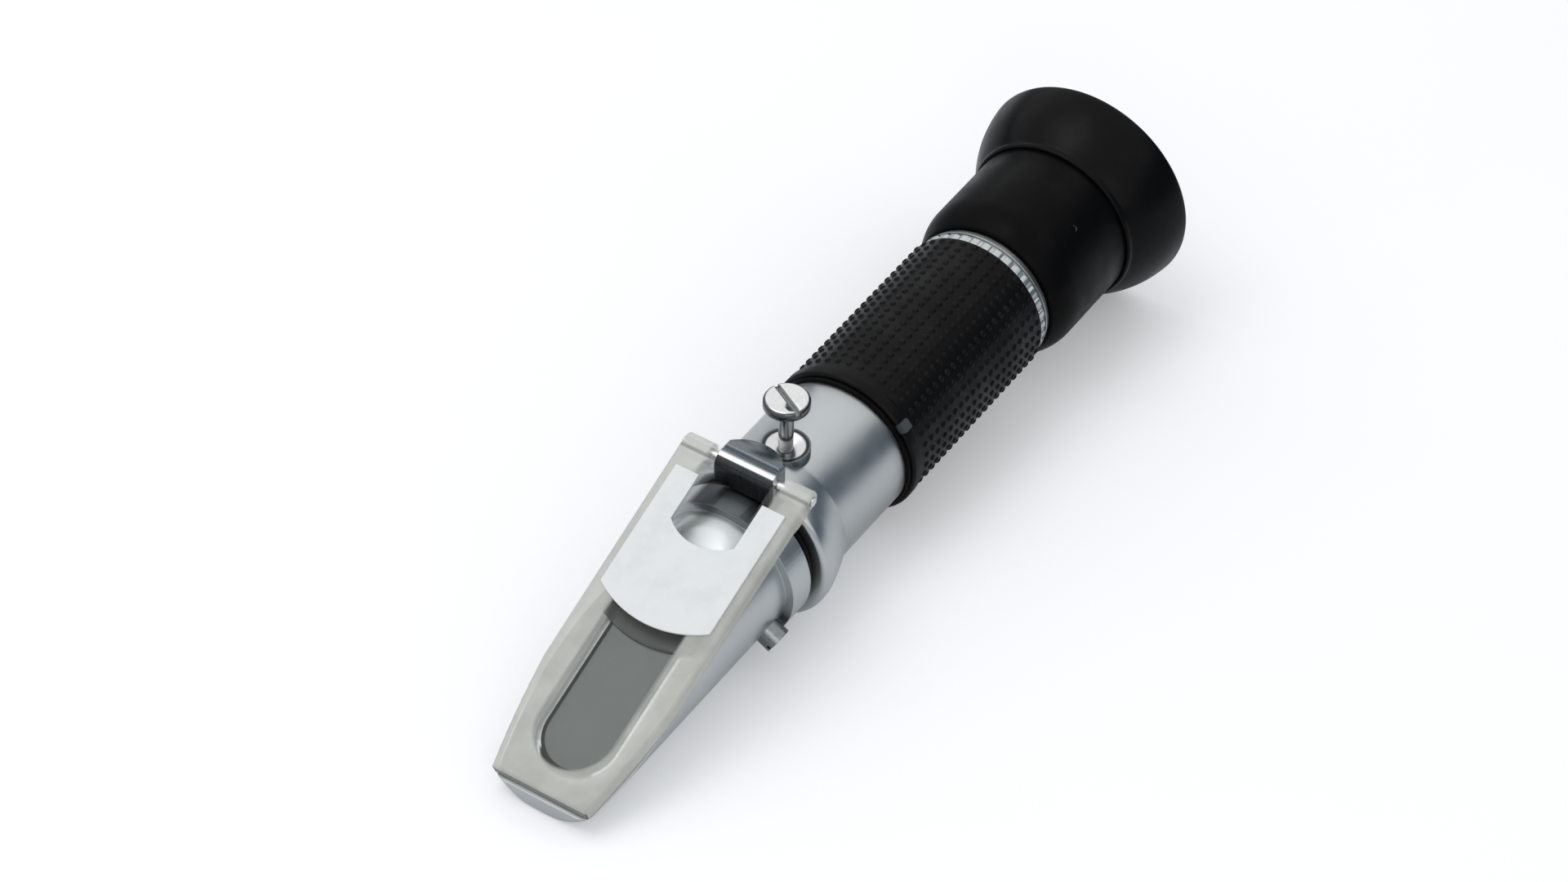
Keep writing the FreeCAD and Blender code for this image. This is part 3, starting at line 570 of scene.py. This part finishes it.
def placed(shape, name):
    """Turn a shape into an object of the scene."""
    mesh = bpy.data.meshes.new(name)
    shape.to_mesh(mesh)
    shape.free()
    piece = bpy.data.objects.new(name, mesh)
    bpy.context.scene.collection.objects.link(piece)
    return piece


def finished(shape, name, stands_for, sharp_angle=30, lay=True):
    """Make an object of a shape, lay it down, and let it stand for its node."""
    if lay:
        bmesh.ops.transform(shape, matrix=LAY, verts=shape.verts)
    piece = placed(shape, name)
    piece.data.shade_smooth()
    piece.data.set_sharp_from_angle(angle=math.radians(sharp_angle))
    piece.data.materials.append(finish_for(stands_for))
    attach(piece, BODY_OF[stands_for])
    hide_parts(stands_for)


def smoothed_copy(node, name):
    """A joined copy of a node's mesh, smooth across its curved faces."""
    shape = bmesh.new()
    shape.from_mesh(nodes[node].data)
    bmesh.ops.remove_doubles(shape, verts=shape.verts, dist=2e-6)
    bmesh.ops.dissolve_limit(shape, angle_limit=math.radians(0.3), verts=shape.verts,
                             edges=shape.edges, use_dissolve_boundaries=False, delimit={"NORMAL"})
    finished(shape, name, node, sharp_angle=28, lay=False)


def turned_barrel():
    """The bare tube with its flange, cut flat where it rests."""
    outline = [(FLANGE_FACE, BOX_SEAT_RADIUS), (FLANGE_FACE, 13.7)]
    outline += arc_points((FLANGE_FACE, 13.7), (59.32, 14.53), (60.1, FLANGE_RADIUS), 6)
    outline += [(61.4, FLANGE_RADIUS)]
    outline += arc_points((61.4, FLANGE_RADIUS), (64.85, 13.95), (68.3, BARREL_RADIUS), 10)
    outline += [(GRIP_RING_FRONT, BARREL_RADIUS), (GRIP_RING_FRONT, SLEEVE_SEAT_RADIUS),
                (BARREL_REAR, SLEEVE_SEAT_RADIUS), (BARREL_REAR, BARREL_BORE),
                (BOX_SEAT_END, BARREL_BORE), (BOX_SEAT_END, BOX_SEAT_RADIUS)]
    shape = lathe(outline)
    soften_rings(shape, 0.16, 40)
    down = TURN_DOWN.inverted().to_3x3() @ Vector((0, 0, -1))
    everything = shape.verts[:] + shape.edges[:] + shape.faces[:]
    cut = bmesh.ops.bisect_plane(shape, geom=everything, plane_co=FOOT, plane_no=down, clear_outer=True)
    rim = [part for part in cut["geom_cut"] if isinstance(part, bmesh.types.BMEdge)]
    bmesh.ops.edgeloop_fill(shape, edges=rim)
    bmesh.ops.recalc_face_normals(shape, faces=shape.faces)
    finished(shape, "bare_barrel", "barrel")


def pipped_grip():
    """The grip sleeve with its bead and rows of small round pips."""
    outline = [(GRIP_FRONT, SLEEVE_SEAT_RADIUS), (GRIP_FRONT, GRIP_RADIUS), (87.35, GRIP_BEAD_RADIUS),
               (89.2, GRIP_BEAD_RADIUS), (89.55, GRIP_RADIUS), (127.25, GRIP_RADIUS),
               (GRIP_REAR, 13.15), (GRIP_REAR, SLEEVE_SEAT_RADIUS)]
    shape = lathe(outline)
    soften_rings(shape, 0.12, 20)
    sleeve_mesh = bpy.data.meshes.new("sleeve")
    shape.to_mesh(sleeve_mesh)
    shape.free()
    pips = bmesh.new()
    seat = Matrix.Translation((FIRST_PIP, 0, GRIP_RADIUS - PIP_SINK)) @ Matrix.Diagonal((*PIP_HALF_SIZES, 1))
    made = bmesh.ops.create_uvsphere(pips, u_segments=8, v_segments=6, radius=1.0, matrix=seat)
    buried = [vert for vert in made["verts"] if vert.co.z < GRIP_RADIUS - PIP_CUT_DEPTH]
    bmesh.ops.delete(pips, geom=buried, context="VERTS")
    bmesh.ops.spin(pips, geom=pips.verts[:] + pips.edges[:] + pips.faces[:], cent=(0, 0, 0),
                   axis=(1, 0, 0), angle=2 * math.pi * (PIPS_AROUND - 1) / PIPS_AROUND,
                   steps=PIPS_AROUND - 1, use_duplicate=True)
    ring = pips.verts[:] + pips.edges[:] + pips.faces[:]
    for row in range(1, PIP_ROWS):
        copy = bmesh.ops.duplicate(pips, geom=ring)["geom"]
        moved = [part for part in copy if isinstance(part, bmesh.types.BMVert)]
        bmesh.ops.translate(pips, vec=(row * PIP_PITCH, 0, 0), verts=moved)
    bmesh.ops.recalc_face_normals(pips, faces=pips.faces)
    pips.from_mesh(sleeve_mesh)
    bpy.data.meshes.remove(sleeve_mesh)
    finished(pips, "pipped_grip", "grip_sleeve", 50)


def focusing_eyepiece():
    """The black focusing sleeve, swelling from its nose to its body."""
    outline = [(EYEPIECE_FRONT, EYEPIECE_BORE), (EYEPIECE_FRONT, 13.2)]
    outline += arc_points((EYEPIECE_FRONT, 13.2), (133.4, 14.45), (137.2, EYEPIECE_RADIUS), 14)
    outline += [(EYEPIECE_SHOULDER, EYEPIECE_RADIUS), (EYEPIECE_SHOULDER, SPIGOT_RADIUS),
                (EYEPIECE_REAR, SPIGOT_RADIUS), (EYEPIECE_REAR, THROAT_RADIUS),
                (EYEPIECE_BORE_END, THROAT_RADIUS), (EYEPIECE_BORE_END, EYEPIECE_BORE)]
    shape = lathe(outline, 160)
    soften_rings(shape, 0.2, 40)
    finished(shape, "focusing_eyepiece", "eyepiece_barrel", 40)


def small_set_screws():
    """The heads of the two set screws, a hair above the sleeve, each with its socket."""
    shape = bmesh.new()
    for station, height, angle in SET_SCREWS:
        turned = Matrix.Rotation(math.radians(90 - angle), 4, "X")
        seat = turned @ Matrix.Translation((station, 0, height - SET_SCREW_DEPTH / 2))
        made = bmesh.ops.create_cone(shape, cap_ends=True, segments=24, radius1=SET_SCREW_RADIUS,
                                     radius2=SET_SCREW_RADIUS, depth=SET_SCREW_DEPTH, matrix=seat)
        ends = {face for vert in made["verts"] for face in vert.link_faces if len(face.verts) > 4}
        top = max(ends, key=lambda face: face.calc_center_median().yz.length)
        bmesh.ops.inset_region(shape, faces=[top], thickness=SOCKET_WALL)
        bmesh.ops.translate(shape, vec=-SOCKET_DEPTH * top.normal, verts=top.verts)
    finished(shape, "small_set_screws", "eyepiece_set_screws", 30)


def flared_eyecup():
    """The soft eyecup: a rolled lip at its neck, a belly and a thin rounded rim."""
    outline = [(CUP_FRONT, EYEPIECE_RADIUS), (CUP_FRONT, 15.55)]
    outline += arc_points((CUP_FRONT, 15.55), (152.85, 15.78), (153.3, 15.75), 5)
    outline += arc_points((153.3, 15.75), (158.3, 18.6), (164.1, CUP_RIM_RADIUS), 18)
    outline += arc_points((164.1, CUP_RIM_RADIUS), (164.736, 19.736), (165.0, 19.1), 6)
    outline += arc_points((165.0, 19.1), (164.85, 18.45), (164.4, 18.1), 5)
    outline += arc_points((164.4, 18.1), (161.4, 16.95), (158.4, 14.8), 12)
    outline += [(158.4, THROAT_RADIUS), (EYEPIECE_REAR, THROAT_RADIUS), (EYEPIECE_REAR, SPIGOT_RADIUS),
                (EYEPIECE_SHOULDER, SPIGOT_RADIUS), (EYEPIECE_SHOULDER, EYEPIECE_RADIUS)]
    shape = lathe(outline, 160)
    soften_rings(shape, 0.25, 40)
    finished(shape, "flared_eyecup", "eyecup", 40)


def seal_in_groove():
    """The soft black ring between the prism box and the barrel, rounded on its outside."""
    outline = [(SEAL_FRONT, SEAL_BORE), (SEAL_FRONT, SEAL_EDGE_RADIUS)]
    outline += arc_points((SEAL_FRONT, SEAL_EDGE_RADIUS), (57.95, 12.5), (SEAL_REAR, SEAL_EDGE_RADIUS), 8)
    outline += [(SEAL_REAR, SEAL_BORE)]
    finished(lathe(outline), "groove_seal", "seal_ring", 50)


def thin_grip_ring():
    outline = [(GRIP_RING_FRONT, SLEEVE_SEAT_RADIUS), (GRIP_RING_FRONT, GRIP_RING_RADIUS),
               (GRIP_FRONT, GRIP_RING_RADIUS), (GRIP_FRONT, SLEEVE_SEAT_RADIUS)]
    shape = lathe(outline)
    soften_rings(shape, 0.15)
    finished(shape, "front_grip_ring", "grip_ring", 50)


# The names of the smoothed copies, by the node that each one copies
SMOOTHED = {
    "prism_box": "sloping_prism_box",
    "hinge_block": "plate_hinge_block",
    "daylight_plate": "hinged_daylight_plate",
    "name_plate": "bare_label",
    # The light mask stands in for the label's shadow: painted shade
    "light_mask": "dark_light_mask",
    "calibration_bush": "dished_screw_bush",
    "calibration_screw": "zero_set_screw",
    "box_screws": "slotted_box_screws",
    "stop_ring": "scalloped_stop_ring",
    "grip_key": "grip_index_key",
    "measuring_prism": "wedge_prism",
    "prism_gasket": "prism_seal",
    "hinge_pin": "plate_pin",
    "eye_lens": "rear_eye_lens",
    "lens_lock_ring": "eye_lens_ring",
    "lens_tube": "sliding_lens_tube",
}

turned_barrel()
pipped_grip()
focusing_eyepiece()
small_set_screws()
flared_eyecup()
seal_in_groove()
thin_grip_ring()
for node, name in SMOOTHED.items():
    smoothed_copy(node, name)
for name, node in nodes.items():
    if not node.hide_render:
        if node.material_slots:
            for place in node.material_slots:
                place.material = finish_for(name)
        else:
            node.data.materials.append(finish_for(name))


# Floor, light and camera

def pale_floor():
    shape = bmesh.new()
    bmesh.ops.create_grid(shape, x_segments=1, y_segments=1, size=FLOOR_HALF_SIZE)
    bmesh.ops.translate(shape, vec=(0, 0, -0.05 * MM), verts=shape.verts)
    floor = placed(shape, "floor")
    finish = Finish("pale_floor").set(Roughness=0.9, Specular_IOR_Level=0.0)
    grain = finish.noise(finish.tube_space(), 0.02, 2.0)
    finish.feed("Base Color", finish.colours(grain, (0.90, 0.90, 0.90), (0.92, 0.92, 0.92)))
    path = finish.node("ShaderNodeLightPath")
    shown = finish.maths("MULTIPLY", path.outputs["Is Camera Ray"], FLOOR_LIFT)
    finish.feed("Emission Strength", shown)
    finish.shader.inputs["Emission Color"].default_value = (1, 1, 1, 1)
    floor.data.materials.append(finish.material)


def flag_black():
    """The dull blue-black of the two sheets."""
    colour = (0.06, 0.1, 0.14, 1)
    return Finish("flag_black").set(Base_Color=colour, Roughness=1.0, Specular_IOR_Level=0.0).material


def black_flag(name, shape):
    """Make a black sheet that only reflections see, as a studio uses to draw the edges of bare metal."""
    flag = placed(shape, name)
    flag.data.materials.append(FLAG_BLACK)
    flag.visible_camera = False
    flag.visible_diffuse = False
    flag.visible_transmission = False
    flag.visible_shadow = False


def low_surround():
    """A low black wall all round, which darkens the lower sides of the metal."""
    shape = bmesh.new()
    bmesh.ops.create_circle(shape, segments=64, radius=SURROUND_RADIUS)
    wall = bmesh.ops.extrude_edge_only(shape, edges=shape.edges[:])["geom"]
    raised = [part for part in wall if isinstance(part, bmesh.types.BMVert)]
    bmesh.ops.translate(shape, vec=(0, 0, SURROUND_HEIGHT), verts=raised)
    black_flag("low_surround", shape)


def side_board():
    """A black board beside the barrel, which gives its dark band."""
    shape = bmesh.new()
    bmesh.ops.create_grid(shape, x_segments=1, y_segments=1, size=0.5)
    towards = TURN_DOWN.to_3x3() @ BOARD_DIRECTION
    upright = towards.to_track_quat("Z", "Y").to_matrix().to_4x4()
    middle = LAY @ Vector((73, 0, 0)) + towards * BOARD_DISTANCE
    middle.z = BOARD_MIDDLE_HEIGHT
    stand = Matrix.Translation(middle) @ upright @ Matrix.Diagonal((*BOARD_SIZE, 1, 1))
    bmesh.ops.transform(shape, matrix=stand, verts=shape.verts)
    black_flag("side_board", shape)


def soft_light(name, place, target, size, power):
    data = bpy.data.lights.new(name, "AREA")
    data.shape = "SQUARE"
    data.size = size
    data.energy = power
    lamp = bpy.data.objects.new(name, data)
    lamp.location = place
    lamp.rotation_mode = "QUATERNION"
    lamp.rotation_quaternion = (Vector(place) - Vector(target)).to_track_quat("Z", "Y")
    bpy.context.scene.collection.objects.link(lamp)


def pale_world():
    """White for the camera, reflections and glass, and a softer light on everything else."""
    world = bpy.data.worlds.new("studio")
    world.use_nodes = True
    tree = world.node_tree
    tree.nodes.clear()
    path = tree.nodes.new("ShaderNodeLightPath")
    seen = path.outputs["Is Camera Ray"]
    for ray in ("Is Glossy Ray", "Is Transmission Ray"):
        either = tree.nodes.new("ShaderNodeMath")
        either.operation = "MAXIMUM"
        tree.links.new(seen, either.inputs[0])
        tree.links.new(path.outputs[ray], either.inputs[1])
        seen = either.outputs["Value"]
    mix = tree.nodes.new("ShaderNodeMixShader")
    tree.links.new(seen, mix.inputs["Fac"])
    for place, colour, strength in ((1, (0.93, 0.96, 1.0, 1), ROOM_LIGHT), (2, (1, 1, 1, 1), 1.0)):
        glow = tree.nodes.new("ShaderNodeBackground")
        glow.inputs["Color"].default_value = colour
        glow.inputs["Strength"].default_value = strength
        tree.links.new(glow.outputs["Background"], mix.inputs[place])
    out = tree.nodes.new("ShaderNodeOutputWorld")
    tree.links.new(mix.outputs["Shader"], out.inputs["Surface"])
    bpy.context.scene.world = world


def camera():
    """The camera that the photograph's rings and edges give, in the tube's own frame."""
    back = CAMERA_RIGHT.cross(CAMERA_UP).normalized()
    up = back.cross(CAMERA_RIGHT).normalized()
    axes = Matrix((CAMERA_RIGHT.normalized(), up, back)).transposed()
    data = bpy.data.cameras.new("camera")
    data.sensor_width = SENSOR_WIDTH
    data.lens = LENS
    data.clip_start = 0.01
    data.clip_end = 20
    made = bpy.data.objects.new("camera", data)
    made.location = LAY @ CAMERA_PLACE
    made.rotation_mode = "QUATERNION"
    made.rotation_quaternion = (TURN_DOWN.to_3x3() @ axes).to_quaternion()
    bpy.context.scene.collection.objects.link(made)
    bpy.context.scene.camera = made


pale_floor()
FLAG_BLACK = flag_black()
low_surround()
side_board()
pale_world()
middle = LAY @ Vector((82, 0, 0))
soft_light("key", middle + Vector((-0.15, 0.25, 0.75)), middle, size=0.5, power=1.5)
soft_light("side", middle + Vector((-0.6, -0.45, 0.45)), middle, size=0.35, power=0.5)
camera()
bpy.context.scene.view_settings.view_transform = "Standard"
